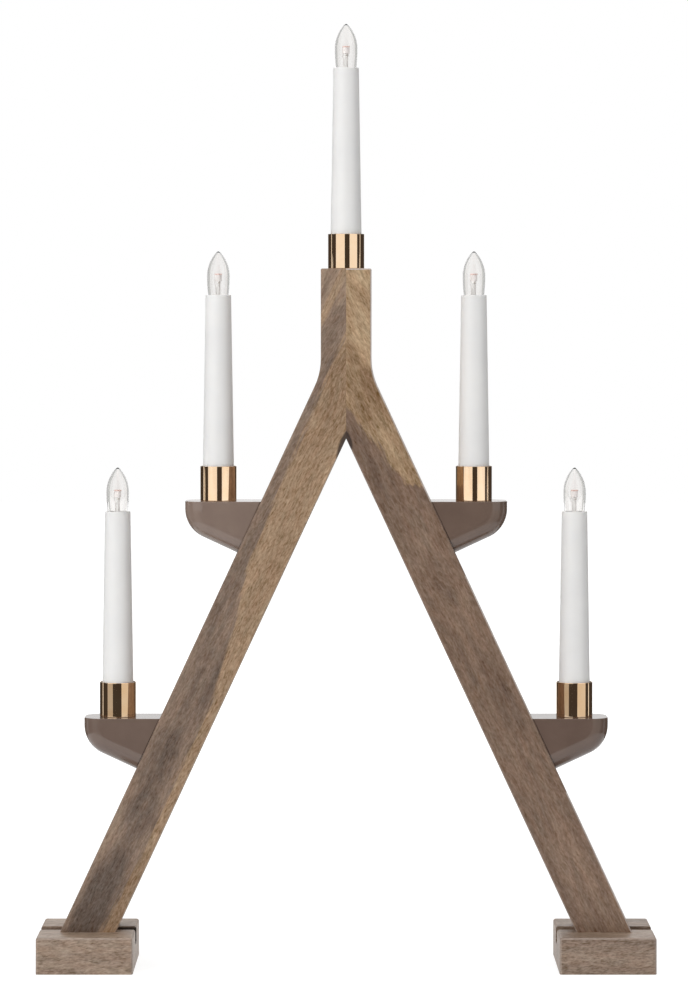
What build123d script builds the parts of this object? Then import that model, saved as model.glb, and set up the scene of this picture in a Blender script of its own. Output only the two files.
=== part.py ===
from build123d import *
from math import cos, radians, sin, tan
import os

# Candle arch: two bent wooden rails glued back to back, two grooved feet, four lacquered
# brackets and five electric candles whose bulbs screw into the tops of white tubes.
# Lengths are in millimetres. X runs to the right, Y to the back and Z up. The origin lies
# on the surface that the feet stand on, midway between them.

# Rails
lean_angle = 25
rail_width = 30.5
rail_depth = 36
rail_arris = 1
shoulder_radius = 40
shoulder_height = 359.5
stem_length = 63

# Feet
foot_width = 58
foot_depth = 82
foot_height = 22
foot_outset = 1
foot_arris = 1.5
foot_groove_width = 14
foot_groove_depth = 9
glue_gap = 0.1

# Foot screws
screw_diameter = 4
screw_length = 34
screw_point_length = 4
screw_head_diameter = 8
screw_spacing = 15
screw_recess_length = 4.4
screw_recess_width = 0.9
screw_recess_depth = 1.6
screw_hole_clearance = 0.1

# Brackets
upper_bracket_height = 282
lower_bracket_height = 151
bracket_depth = 34
bracket_reach = 46
bracket_end_drop = 16.5
bracket_end_radius = 18.7
bracket_rounding = 11
bracket_arris = 0.4
cup_setback = 20

# Dowels
seam_dowel_diameter = 8
seam_dowel_length = 22
seam_dowel_inset = 18
bracket_dowel_diameter = 6
bracket_dowel_length = 22
bracket_dowel_spacing = 16
dowel_chamfer = 0.8
dowel_set_forward = 9
dowel_clearance = 0.1

# Wiring channel in the backs of the rails, and the bores from it to the cups
channel_width = 7
channel_depth = 10.5
channel_foot_gap = 16
stem_channel_length = 30
strip_thickness = 3
strip_clearance = 0.1
outlet_diameter = 4.4
outlet_inset = 9
lead_bore_diameter = 7
lead_bore_rise = 10
lead_bore_entry = 8
lead_bore_relief = 1
stem_bore_depth = 24
stem_bore_fall = 20

# Leads
lead_diameter = 1.6
lead_pair_offset = 1.15
lead_bend_radius = 3
return_turn_radius = 2.5
return_turn_height = 12
return_ramp_length = 20
return_lane_depth = 4.8
lead_end_gap = 0.3

# Cups, with the hollow nipples that hold them and the plugs that the tubes are pushed over
cup_diameter = 22
cup_height = 21
cup_wall = 0.6
cup_floor = 0.8
nipple_diameter = 10
nipple_bore = 7.5
nipple_depth = 12
nipple_clearance = 0.05
seat_height = 9
seat_clearance = 0.05

# Candle tubes
tube_top_diameter = 15.4
tube_foot_diameter = 19.4
tube_wall = 1
tube_lip_radius = 0.4
tube_rise = 103.5
top_tube_rise = 100.5

# Bulbs, measured from the top of the tube
bulb_diameter = 13.7
bulb_rise = 26.5
bulb_widest_height = 11.5
bulb_tip_radius = 0.8
bulb_tip_drop = 0.4
bulb_tip_thickness = 2
glass_wall = 0.7
shoulder_diameter = 11.8
shoulder_depth = 2.4
neck_diameter = 8.5
neck_depth = 5.8
neck_length = 4
cap_diameter = 9.5
cap_wall = 0.3
cap_threads = 5
thread_pitch = 1.81
cap_top_depth = 6.2
insulator_clearance = 0.1
insulator_height = 1.8
insulator_lip = 0.8
button_diameter = 4.6
button_height = 1.4
button_rounding = 0.5
stalk_diameter = 2.3
stalk_joint_diameter = 3
stalk_joint_height = 0.9
diode_diameter = 4.6
diode_height = 4.6
diode_base_height = 8.4

# Lamp holders inside the tube tops
holder_clearance = 0.1
thread_clearance = 0.25
shell_wall = 0.4
shell_inset = 0.4
shell_clearance = 0.1
holder_top_depth = 6.6
holder_floor = 2
contact_gap = 0.3
contact_thickness = 0.5
contact_length = 7
contact_width = 4
tab_width = 2
tab_thickness = 0.4
tab_clearance = 0.1

# One overrun serves every cut
overrun = 1

os.makedirs("parts", exist_ok=True)

# Rail geometry
lean_slope = tan(radians(lean_angle))
rail_span = rail_width / cos(radians(lean_angle))
stem_half = rail_width / 2
stem_top = shoulder_height + stem_length
apex_height = shoulder_height - (rail_span - stem_half) / lean_slope
junction_height = shoulder_height - (rail_span / 2 - stem_half) / lean_slope
down_leg = Vector(sin(radians(lean_angle)), 0, -cos(radians(lean_angle)))
off_leg = Vector(cos(radians(lean_angle)), 0, sin(radians(lean_angle)))


def outer_x(height):
    """Place of the right leg's outer face at a height."""
    return stem_half + (shoulder_height - height) * lean_slope


def inner_x(height):
    """Place of the right leg's inner face at a height."""
    return outer_x(height) - rail_span


def centre_x(height):
    """Place of the right leg's centre line at a height."""
    return outer_x(height) - rail_span / 2


foot_x = centre_x(foot_height) + foot_outset
channel_foot_height = foot_height + channel_foot_gap
channel_foot = (centre_x(channel_foot_height), channel_foot_height)
junction = (0, junction_height)
stem_channel_top = (0, junction_height + stem_channel_length)

# Bracket geometry
bracket_tip_drop = (bracket_end_drop + bracket_reach * lean_slope) * cos(radians(lean_angle)) ** 2
elbow_depth = bracket_end_drop + cup_setback * lean_slope - lead_bore_rise / cos(radians(lean_angle))


def cup_x(bracket_height):
    """Place of the cup's axis on the right bracket at a height."""
    return outer_x(bracket_height) + bracket_reach - cup_setback


def joint_plane(bracket_height):
    """Plane in which a right bracket meets its leg, centred on the joint, facing outwards."""
    middle_height = bracket_height - bracket_tip_drop / 2
    return Plane((outer_x(middle_height), 0, middle_height), x_dir=(0, 1, 0), z_dir=off_leg)


def bore_ends(bracket_height):
    """Elbow under the cup, and the point in the leg's channel that the bore comes from."""
    elbow = Vector(cup_x(bracket_height), 0, bracket_height - elbow_depth)
    to_face = (elbow.X - outer_x(elbow.Z)) * cos(radians(lean_angle))
    inlet = elbow - off_leg * (to_face + rail_width / 2) + Vector(0, rail_depth / 2 - lead_bore_entry, 0)
    return elbow, inlet


def stem_bore_ends():
    """Elbow under the top cup, and the point in the stem's channel that its bore comes from."""
    elbow = Vector(0, 0, stem_top - stem_bore_depth)
    return elbow, elbow + Vector(0, rail_depth / 2 - lead_bore_entry, -stem_bore_fall)


bracket_heights = (upper_bracket_height, lower_bracket_height)
dowel_hole_depth = bracket_dowel_length / 2 + dowel_clearance
nipple_hole = nipple_diameter / 2 + nipple_clearance
channel_plane = Plane.XZ.offset(-rail_depth / 2)


def channel_slot(start, end, width):
    """Round-ended slot between two points of a sketch."""
    middle = ((start[0] + end[0]) / 2, (start[1] + end[1]) / 2)
    SlotCenterPoint(middle, end, width)


def drill(start, end, diameter, past=0):
    """Round drill that runs from one point to another and a little past both."""
    along = (end - start).normalized()
    with BuildPart() as bit:
        with BuildSketch(Plane(start - along * past, z_dir=along)):
            Circle(diameter / 2)
        extrude(amount=(end - start).length + 2 * past)
    return bit.part


def lead_bore(start, end):
    return drill(start, end, lead_bore_diameter, past=lead_bore_relief)


def cup_hole(mouth, elbow):
    """Stepped hole under a cup: the nipple's seat, then the lead bore down to the elbow."""
    return lead_bore(mouth, elbow) + drill(mouth, mouth - (0, 0, nipple_depth), 2 * nipple_hole)


def dowel_holes(bracket_height):
    """Sketch of the two dowel holes in a bracket's joint."""
    with BuildSketch(joint_plane(bracket_height)) as holes:
        with Locations((-dowel_set_forward, 0)):
            with GridLocations(0, bracket_dowel_spacing, 1, 2):
                Circle(bracket_dowel_diameter / 2 + dowel_clearance)
    return holes.sketch


def save(part, name):
    part.label = name
    export_step(part, f"parts/{name}.step")


def save_mirrored(part, name):
    """Saves the left-hand twin of a right-hand piece."""
    with BuildPart() as twin:
        mirror(part, about=Plane.YZ)
    save(twin.part, name)


# Right rail: half the stem and one leg, with a tenon for the foot
seam_dowel_heights = (
    apex_height + seam_dowel_inset,
    (apex_height + stem_top) / 2,
    stem_top - seam_dowel_inset,
)
screw_places = [(foot_x - screw_spacing / 2, 0), (foot_x + screw_spacing / 2, 0)]
tenon_end = foot_height - foot_groove_depth + glue_gap

with BuildPart() as right_upright:
    with BuildSketch(Plane.XZ):
        with BuildLine():
            Polyline(
                (0, stem_top),
                (stem_half, stem_top),
                (stem_half, shoulder_height),
                (outer_x(foot_height), foot_height),
                (inner_x(foot_height), foot_height),
                (0, apex_height),
                close=True,
            )
        make_face()
        fillet(vertices().sort_by_distance((stem_half, shoulder_height))[0], shoulder_radius)
    extrude(amount=rail_depth / 2, both=True)
    outline_edges = faces().filter_by(Axis.Y).edges()
    seam_edges = outline_edges.group_by(Axis.X)[0]
    foot_edges = outline_edges.group_by(Axis.Z)[0]
    top_corner = edges().filter_by(Axis.Y).group_by(Axis.Z)[-1].sort_by(Axis.X)[-1]
    fillet(outline_edges - seam_edges - foot_edges + [top_corner], rail_arris)
    with BuildSketch(Plane.XZ):
        with BuildLine():
            Polyline(
                (outer_x(foot_height), foot_height),
                (outer_x(tenon_end), tenon_end),
                (inner_x(tenon_end), tenon_end),
                (inner_x(foot_height), foot_height),
                close=True,
            )
        make_face()
    extrude(amount=foot_groove_width / 2 - glue_gap, both=True)
    with BuildSketch(channel_plane):
        channel_slot(channel_foot, junction, channel_width)
        channel_slot(junction, stem_channel_top, channel_width)
    extrude(amount=channel_depth, mode=Mode.SUBTRACT)
    for height in bracket_heights:
        elbow, inlet = bore_ends(height)
        add(lead_bore(inlet, elbow), mode=Mode.SUBTRACT)
        extrude(dowel_holes(height), amount=dowel_hole_depth, both=True, mode=Mode.SUBTRACT)
    elbow, inlet = stem_bore_ends()
    add(lead_bore(inlet, elbow), mode=Mode.SUBTRACT)
    add(cup_hole(Vector(0, 0, stem_top), elbow), mode=Mode.SUBTRACT)
    with BuildSketch(Plane.YZ):
        with Locations(*[(-dowel_set_forward, height) for height in seam_dowel_heights]):
            Circle(seam_dowel_diameter / 2 + dowel_clearance)
    extrude(amount=seam_dowel_length / 2 + dowel_clearance, mode=Mode.SUBTRACT)
    with BuildSketch(Plane.XY):
        with Locations(*screw_places):
            Circle(screw_diameter / 2 + screw_hole_clearance)
    extrude(amount=screw_length + screw_hole_clearance, mode=Mode.SUBTRACT)
save(right_upright.part, "right_upright")
save_mirrored(right_upright.part, "left_upright")

with BuildPart() as seam_dowels:
    with BuildSketch(Plane.YZ.offset(-seam_dowel_length / 2)):
        with Locations(*[(-dowel_set_forward, height) for height in seam_dowel_heights]):
            Circle(seam_dowel_diameter / 2)
    extrude(amount=seam_dowel_length)
    chamfer(edges().filter_by(GeomType.CIRCLE), dowel_chamfer)
save(seam_dowels.part, "seam_dowels")

# Right foot: a block with a groove across its top that takes the leg's tenon
with BuildPart() as right_foot:
    with BuildSketch():
        with Locations((foot_x, 0)):
            Rectangle(foot_width, foot_depth)
    extrude(amount=foot_height)
    fillet(edges() - edges().group_by(Axis.Z)[0], foot_arris)
    with BuildSketch(Plane.XY.offset(foot_height)):
        with Locations((foot_x, 0)):
            Rectangle(foot_width + 2 * overrun, foot_groove_width)
    extrude(amount=-foot_groove_depth, mode=Mode.SUBTRACT)
    with Locations(Plane((foot_x, 0, 0), z_dir=(0, 0, -1))):
        with GridLocations(screw_spacing, 0, 2, 1):
            CounterSinkHole(
                screw_diameter / 2 + screw_hole_clearance,
                screw_head_diameter / 2 + screw_hole_clearance,
                counter_sink_angle=90,
            )
save(right_foot.part, "right_foot")
save_mirrored(right_foot.part, "left_foot")

# Countersunk screw, head down, as it goes up through the foot into the leg
screw_cone = (screw_head_diameter - screw_diameter) / 2
with BuildPart() as screw:
    with BuildSketch(Plane.XZ):
        with BuildLine():
            Polyline(
                (0, 0),
                (screw_head_diameter / 2, 0),
                (screw_diameter / 2, screw_cone),
                (screw_diameter / 2, screw_length - screw_point_length),
                (0, screw_length),
                close=True,
            )
        make_face()
    revolve(axis=Axis.Z)
    with BuildSketch():
        Rectangle(screw_recess_length, screw_recess_width)
        Rectangle(screw_recess_width, screw_recess_length)
    extrude(amount=screw_recess_depth, mode=Mode.SUBTRACT)

with BuildPart() as foot_screws:
    with Locations(*screw_places, *[(-x, y) for x, y in screw_places]):
        add(screw.part)
save(foot_screws.part, "foot_screws")


def make_bracket(height):
    """Right-hand bracket whose top lies at a height: square to the leg below, rounded outside."""
    end = outer_x(height) + bracket_reach
    tip_height = height - bracket_tip_drop
    elbow, inlet = bore_ends(height)
    with BuildPart() as bracket:
        with BuildSketch(Plane.XZ):
            with BuildLine():
                Polyline(
                    (outer_x(height), height),
                    (end, height),
                    (end, height - bracket_end_drop),
                    (outer_x(tip_height), tip_height),
                    close=True,
                )
            make_face()
            fillet(vertices().group_by(Axis.X)[-1].sort_by(Axis.Y)[0], bracket_end_radius)
        extrude(amount=bracket_depth / 2, both=True)
        side_edges = faces().filter_by(Axis.Y).edges()
        top_edges = side_edges.group_by(Axis.Z)[-1]
        joint_edges = side_edges.group_by(Axis.X)[0]
        fillet(side_edges - top_edges - joint_edges, bracket_rounding)
        rim = faces().sort_by(Axis.Z)[-1].edges()
        fillet(rim - rim.filter_by(Axis.Y).group_by(Axis.X)[0], bracket_arris)
        add(cup_hole(Vector(elbow.X, 0, height), elbow), mode=Mode.SUBTRACT)
        add(lead_bore(elbow, inlet), mode=Mode.SUBTRACT)
        extrude(dowel_holes(height), amount=dowel_hole_depth, both=True, mode=Mode.SUBTRACT)
    return bracket.part


for row, height in zip(("upper", "lower"), bracket_heights):
    bracket = make_bracket(height)
    save(bracket, f"{row}_right_bracket")
    save_mirrored(bracket, f"{row}_left_bracket")

with BuildPart() as right_bracket_dowels:
    for height in bracket_heights:
        with BuildSketch(joint_plane(height)):
            with Locations((-dowel_set_forward, 0)):
                with GridLocations(0, bracket_dowel_spacing, 1, 2):
                    Circle(bracket_dowel_diameter / 2)
        extrude(amount=bracket_dowel_length / 2, both=True)
    chamfer(edges().filter_by(GeomType.CIRCLE), dowel_chamfer)

with BuildPart() as bracket_dowels:
    add(right_bracket_dowels.part)
    mirror(right_bracket_dowels.part, about=Plane.YZ)
save(bracket_dowels.part, "bracket_dowels")

# Strips that close the wiring channel flush with the backs of the rails
strip_width = channel_width - 2 * strip_clearance
outlet = Vector(channel_foot[0], 0, channel_foot[1]) - down_leg * outlet_inset


def cover_strip():
    """Right leg's strip, which butts against the stem's strip and its twin on the other leg."""
    with BuildPart() as strip:
        with BuildSketch(channel_plane):
            channel_slot(channel_foot, junction, strip_width)
            with Locations((strip_clearance, junction_height)):
                Rectangle(
                    channel_width, stem_channel_length, align=(Align.MAX, Align.CENTER), mode=Mode.SUBTRACT
                )
            with Locations(junction):
                Circle(channel_width / 2, mode=Mode.SUBTRACT)
        extrude(amount=strip_thickness)
    return strip.part


save_mirrored(cover_strip(), "left_cover_strip")

with BuildPart() as right_cover_strip:
    add(cover_strip())
    with BuildSketch(channel_plane):
        with Locations((outlet.X, outlet.Z)):
            Circle(outlet_diameter / 2)
    extrude(amount=strip_thickness, mode=Mode.SUBTRACT)
save(right_cover_strip.part, "right_cover_strip")

with BuildPart() as stem_cover_strip:
    with BuildSketch(channel_plane):
        channel_slot(junction, stem_channel_top, strip_width)
    extrude(amount=strip_thickness)
save(stem_cover_strip.part, "stem_cover_strip")

# Candles: name, place of the axis, height of the seat, rise of the tube above the cup, and
# the turn of the lamp holder that brings its terminals over the leads
upper_x = cup_x(upper_bracket_height)
lower_x = cup_x(lower_bracket_height)
candles = (
    ("lower_left", -lower_x, lower_bracket_height, tube_rise, 0),
    ("upper_left", -upper_x, upper_bracket_height, tube_rise, 0),
    ("top", 0, stem_top, top_tube_rise, 90),
    ("upper_right", upper_x, upper_bracket_height, tube_rise, 0),
    ("lower_right", lower_x, lower_bracket_height, tube_rise, 0),
)


def tube_length(rise):
    """Whole length of a tube that stands on the cup's floor and rises above its rim."""
    return cup_height - cup_floor + rise


tube_taper = (tube_foot_diameter - tube_top_diameter) / 2 / tube_length(tube_rise)


def tube_radius(depth):
    """Outer radius of a tube at a depth below its top."""
    return tube_top_diameter / 2 + depth * tube_taper


def tube_bore(depth):
    return tube_radius(depth) - tube_wall


def turned(*outline):
    """Turned piece from the half outline of its section, as (radius, height) points."""
    with BuildPart() as piece:
        with BuildSketch(Plane.XZ):
            with BuildLine():
                Polyline(*outline, close=True)
            make_face()
        revolve(axis=Axis.Z)
    return piece.part


# Cup: a thin polished sleeve with a floor that the nipple passes through
with BuildPart() as cup:
    add(
        turned(
            (nipple_hole, 0),
            (cup_diameter / 2, 0),
            (cup_diameter / 2, cup_height),
            (cup_diameter / 2 - cup_wall, cup_height),
            (cup_diameter / 2 - cup_wall, cup_floor),
            (nipple_hole, cup_floor),
        )
    )

# Hollow nipple, from the wood up through the cup's floor
nipple = turned(
    (nipple_bore / 2, -nipple_depth),
    (nipple_diameter / 2, -nipple_depth),
    (nipple_diameter / 2, cup_floor + seat_height),
    (nipple_bore / 2, cup_floor + seat_height),
)


def make_seat(rise):
    """Plug that is screwed onto the nipple, pinches the cup and carries the tube."""
    foot = tube_length(rise)
    return turned(
        (nipple_hole, cup_floor),
        (tube_bore(foot) - seat_clearance, cup_floor),
        (tube_bore(foot - seat_height) - seat_clearance, cup_floor + seat_height),
        (nipple_hole, cup_floor + seat_height),
    )


def make_tube(rise):
    """White candle tube, measured down from its top, with a rounded lip."""
    foot = tube_length(rise)
    with BuildPart() as tube:
        add(
            turned(
                (tube_bore(0), 0),
                (tube_radius(0), 0),
                (tube_radius(foot), -foot),
                (tube_bore(foot), -foot),
            )
        )
        fillet(edges().group_by(Axis.Z)[-1], tube_lip_radius)
    return tube.part


# Bulb pieces, measured from the top of the tube
def glass_face(inset, top, foot):
    """Half section of the bulb's outer skin, or of its hollow when set in by the glass wall."""
    widest = (bulb_diameter / 2 - inset, bulb_widest_height)
    shoulder = (shoulder_diameter / 2 - inset, -shoulder_depth)
    neck = (neck_diameter / 2 - inset, -neck_depth)
    tip = (bulb_tip_radius, top - bulb_tip_drop)
    with BuildSketch() as section:
        with BuildLine():
            Polyline(shoulder, neck, (neck[0], -foot), (0, -foot), (0, top), tip)
            TangentArc(widest, tip, tangent=(0, 1))
            TangentArc(widest, shoulder, tangent=(0, -1))
        make_face()
    return section.sketch


with BuildPart() as glass:
    with BuildSketch(Plane.XZ):
        add(glass_face(0, bulb_rise, neck_depth + neck_length))
        add(
            glass_face(glass_wall, bulb_rise - bulb_tip_thickness, neck_depth + neck_length + overrun),
            mode=Mode.SUBTRACT,
        )
    revolve(axis=Axis.Z)

cap_length = cap_threads * thread_pitch
cap_foot = cap_top_depth + cap_length
cap = turned(
    (cap_diameter / 2 - cap_wall, -cap_foot),
    (cap_diameter / 2, -cap_foot),
    (cap_diameter / 2, -cap_top_depth),
    (cap_diameter / 2 - cap_wall, -cap_top_depth),
)

insulator_radius = cap_diameter / 2 - cap_wall - insulator_clearance
insulator_foot = cap_foot + insulator_lip
light = turned(
    (0, -insulator_foot),
    (button_diameter / 2, -insulator_foot),
    (insulator_radius, -cap_foot),
    (insulator_radius, -cap_foot + insulator_height),
    (stalk_diameter / 2, -cap_foot + insulator_height),
    (stalk_diameter / 2, diode_base_height - stalk_joint_height),
    (stalk_joint_diameter / 2, diode_base_height - stalk_joint_height),
    (stalk_joint_diameter / 2, diode_base_height),
    (diode_diameter / 2, diode_base_height),
    (diode_diameter / 2, diode_base_height + diode_height),
    (0, diode_base_height + diode_height),
)

button_foot = insulator_foot + button_height
with BuildPart() as button:
    with BuildSketch(Plane.XY.offset(-button_foot)):
        Circle(button_diameter / 2)
    extrude(amount=button_height)
    fillet(edges().group_by(Axis.Z)[0], button_rounding)

# Lamp holder pieces, measured from the top of the tube
shell_radius = cap_diameter / 2 + thread_clearance
shell_length = cap_length - shell_inset
shell_foot = holder_top_depth + shell_clearance + shell_length
floor_top = button_foot + contact_gap + contact_thickness
holder_foot = floor_top + holder_floor
holder_bore = shell_radius + shell_wall + shell_clearance
tab_place = shell_radius + shell_wall / 2
tab_reach = tab_place + tab_thickness / 2 - tab_clearance

with BuildPart() as holder:
    add(
        turned(
            (0, -floor_top),
            (holder_bore, -floor_top),
            (holder_bore, -holder_top_depth),
            (tube_bore(holder_top_depth) - holder_clearance, -holder_top_depth),
            (tube_bore(holder_foot) - holder_clearance, -holder_foot),
            (0, -holder_foot),
        )
    )
    with BuildSketch(Plane.XY.offset(-holder_foot)):
        with Locations((0, -tab_place)):
            Rectangle(tab_width + 2 * tab_clearance, tab_thickness + 2 * tab_clearance)
        with Locations((0, lead_pair_offset)):
            Circle(lead_diameter / 2 + tab_clearance)
    extrude(amount=holder_floor, mode=Mode.SUBTRACT)

# Threaded shell with a tab that goes through the holder's floor and turns in over a lead
with BuildPart() as shell:
    add(
        turned(
            (shell_radius, -shell_foot),
            (shell_radius + shell_wall, -shell_foot),
            (shell_radius + shell_wall, shell_length - shell_foot),
            (shell_radius, shell_length - shell_foot),
        )
    )
    with BuildSketch(Plane.XY.offset(-holder_foot - tab_thickness)):
        with Locations((0, -tab_place)):
            Rectangle(tab_width, tab_thickness)
    extrude(amount=holder_foot + tab_thickness - shell_foot)
    with BuildSketch(Plane.XY.offset(-holder_foot)):
        with Locations((0, -tab_place - tab_thickness / 2)):
            Rectangle(tab_width, tab_reach, align=(Align.CENTER, Align.MIN))
    extrude(amount=-tab_thickness)

# Centre contact: a springy strip on the floor with a pin down to the other lead
with BuildPart() as contact:
    with BuildSketch(Plane.XY.offset(-floor_top)):
        Rectangle(contact_length, contact_width)
    extrude(amount=contact_thickness)
    with BuildSketch(Plane.XY.offset(-floor_top)):
        with Locations((0, lead_pair_offset)):
            Circle(lead_diameter / 2)
    extrude(amount=-holder_floor - tab_thickness)

with BuildPart() as nipples:
    with Locations(*[(x, 0, seat) for _, x, seat, _, _ in candles]):
        add(nipple)
save(nipples.part, "cup_nipples")

with BuildPart() as seats:
    for _, x, seat, rise, _ in candles:
        with Locations((x, 0, seat)):
            add(make_seat(rise))
save(seats.part, "tube_seats")

with BuildPart() as contacts:
    for _, x, seat, rise, turn in candles:
        with Locations(Location((x, 0, seat + cup_height + rise), (0, 0, turn))):
            add(contact.part)
save(contacts.part, "holder_contacts")

for name, x, seat, rise, turn in candles:
    on_seat = Location((x, 0, seat))
    on_tube = Location((x, 0, seat + cup_height + rise), (0, 0, turn))
    save(cup.part.moved(on_seat), f"{name}_cup")
    save(make_tube(rise).moved(on_tube), f"{name}_tube")
    save(holder.part.moved(on_tube), f"{name}_holder")
    save(shell.part.moved(on_tube), f"{name}_thread_shell")
    save(glass.part.moved(on_tube), f"{name}_bulb_glass")
    save(cap.moved(on_tube), f"{name}_bulb_cap")
    save(light.moved(on_tube), f"{name}_bulb_light")
    save(button.part.moved(on_tube), f"{name}_bulb_button")


# Leads: single wires that join the holders in series, two to a bore
def drop_points(x, rise, seat, elbow, inlet, side):
    """Points of one lead from its terminal down to the channel, on one side of the pair."""
    across = (inlet - elbow).cross(Vector(0, 0, 1)).normalized()
    across = across if across.Y > 0 or across.X > 0 else -across
    top_height = seat + cup_height + rise - holder_foot - tab_thickness - lead_end_gap
    shift = across * (side * lead_pair_offset)
    terminal = Vector(0, side * lead_pair_offset) if x else shift
    return [Vector(x, 0, top_height) + terminal, elbow + shift, inlet + shift]


def lead(points, *radii):
    """Round wire along straight runs joined by arcs."""
    with BuildPart() as wire:
        with BuildLine() as route:
            FilletPolyline(*points, radius=list(radii))
        with BuildSketch(Plane(route.line @ 0, z_dir=route.line % 0)):
            Circle(lead_diameter / 2)
        sweep()
    return wire.part


bend = lead_bend_radius
behind, before = 1, -1
upper_ends = bore_ends(upper_bracket_height)
lower_ends = bore_ends(lower_bracket_height)
stem_lane = lead_pair_offset
return_lane = return_turn_radius + strip_clearance
return_depth = rail_depth / 2 - return_lane_depth
lane_corner = Vector(stem_lane, upper_ends[1].Y, junction_height - stem_lane / lean_slope)
return_corner = Vector(return_lane, return_depth, junction_height - return_lane / lean_slope)
return_turn = Vector(return_lane, return_depth, junction_height + return_turn_height)


def mirrored(point):
    return Vector(-point.X, point.Y, point.Z)


lower_to_upper = lead(
    drop_points(lower_x, tube_rise, lower_bracket_height, *lower_ends, before)
    + drop_points(upper_x, tube_rise, upper_bracket_height, *upper_ends, behind)[::-1],
    bend, bend, bend, bend,
)
upper_to_top = lead(
    drop_points(upper_x, tube_rise, upper_bracket_height, *upper_ends, before)
    + [lane_corner]
    + drop_points(0, top_tube_rise, stem_top, *stem_bore_ends(), behind)[::-1],
    bend, bend, bend, bend, bend,
)
with BuildPart() as link_leads:
    for link in (lower_to_upper, upper_to_top):
        add(link)
        mirror(link, about=Plane.YZ)
save(link_leads.part, "link_leads")

outlet_to_lower = lead(
    [Vector(outlet.X, lower_ends[1].Y + lead_pair_offset, outlet.Z)]
    + drop_points(lower_x, tube_rise, lower_bracket_height, *lower_ends, behind)[::-1],
    bend, bend,
)
ramp_height = lower_ends[1].Z + return_ramp_length
return_ramp = Vector(centre_x(ramp_height), return_depth, ramp_height)
return_lead = lead(
    [mirrored(p) for p in drop_points(lower_x, tube_rise, lower_bracket_height, *lower_ends, behind)]
    + [mirrored(return_ramp), mirrored(return_corner), mirrored(return_turn)]
    + [return_turn, return_corner, Vector(outlet.X, return_depth, outlet.Z)],
    bend, bend, bend, bend, return_turn_radius, return_turn_radius, bend,
)
with BuildPart() as supply_leads:
    add(outlet_to_lower)
    add(return_lead)
save(supply_leads.part, "supply_leads")
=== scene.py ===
"""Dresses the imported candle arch: wood, lacquer, copper, tubes, bulbs, studio and camera."""

import math

import bpy
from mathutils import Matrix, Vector


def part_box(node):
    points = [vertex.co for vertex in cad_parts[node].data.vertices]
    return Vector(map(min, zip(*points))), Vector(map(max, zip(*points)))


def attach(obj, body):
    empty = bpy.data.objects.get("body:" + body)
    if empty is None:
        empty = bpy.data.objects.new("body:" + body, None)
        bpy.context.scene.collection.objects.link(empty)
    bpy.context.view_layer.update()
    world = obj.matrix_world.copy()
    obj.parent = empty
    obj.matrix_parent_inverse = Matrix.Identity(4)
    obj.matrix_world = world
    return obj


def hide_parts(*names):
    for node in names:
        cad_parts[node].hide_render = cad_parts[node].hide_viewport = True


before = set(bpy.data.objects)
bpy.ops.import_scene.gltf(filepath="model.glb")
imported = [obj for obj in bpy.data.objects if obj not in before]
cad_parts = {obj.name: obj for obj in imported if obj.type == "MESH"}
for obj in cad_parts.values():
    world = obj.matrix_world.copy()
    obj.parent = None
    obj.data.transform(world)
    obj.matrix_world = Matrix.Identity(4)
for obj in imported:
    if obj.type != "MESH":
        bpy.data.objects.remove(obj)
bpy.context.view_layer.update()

MM = 0.001
STAND = "stand"
CANDLES = ("lower_left", "upper_left", "top", "upper_right", "lower_right")
OUTWARD = {"left": -1, "right": 1}

# Sizes that the solids have, in millimetres. Heights of a bulb's parts count from the tube's top.
LEAN = math.radians(25)
LEG_OFFSET = 150.5
RAIL_HALF = 15.25
BRACKET_SPANS = ((40, 90), (184.5, 234.5))
FOOT_HEIGHT = 22.0
GROOVE_DEPTH = 9.0
GROOVE_HALF = 7.0
CUP_RADIUS = 11.0
CUP_HEIGHT = 21.0
CUP_WALL = 0.6
CUP_FLOOR = 0.8
NIPPLE_HOLE = 5.05
TUBE_TOP_RADIUS = 7.7
TUBE_TAPER = 2.0 / 123.7
TUBE_WALL = 1.0
GLASS_TOP = 26.5
GLASS_TIP = (0.8, 26.1)
GLASS_WIDEST = (6.85, 11.5)
GLASS_SHOULDER = (5.9, -2.4)
GLASS_NECK_RADIUS = 4.25
GLASS_NECK_DEPTH = 5.8
GLASS_FOOT = 9.8
CAP_RADIUS = 4.75
CAP_TOP = 6.2
CAP_LENGTH = 9.05
CAP_FOOT = CAP_TOP + CAP_LENGTH
THREAD_PITCH = 1.81

# Sizes of the finer meshes' own forms, in millimetres
RIM_LOOP = 0.7
CUP_EASING = 0.28
TUBE_EASING = 0.42
STALK_EASING = 0.25
DIODE_EASING = 0.2
GLASS_WALL = 1.0
TIP_THICKNESS = 1.1
TIP_POINTS = ((0.5, 26.35), (0.22, 26.46), (0, GLASS_TOP))
HOLLOW_TIP = GLASS_TOP - TIP_THICKNESS
HOLLOW_TIP_POINTS = ((0, HOLLOW_TIP), (0.45, HOLLOW_TIP - 0.12))
CAP_WALL = 0.3
CAP_THREAD = 0.14
SHELL_WALL = 0.4
SHELL_THREAD = 0.08
SHELL_MARGIN = 0.1
THREAD_FADE = 0.9
STALK_OUTLINE = (
    (0, -CAP_FOOT - 0.8), (2.3, -CAP_FOOT - 0.8), (4.3, -CAP_FOOT), (4.3, -CAP_FOOT + 1.8),
    (1.15, -CAP_FOOT + 2.2), (1.15, 6.9), (1.5, 7.5), (1.5, 8.2), (0, 8.2),
)
DIODE_OUTLINE = ((0, 8.45), (2.05, 8.45), (2.05, 12.2), (2.3, 12.4), (2.3, 13.0), (0, 13.0))
BEAD_OUTLINE = ((0, 0), (0.55, 0.12), (0.75, 0.55), (0.55, 1.0), (0, 1.1))
BEAD_PLACE = (0.45, -1.3, 6.9)
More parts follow.
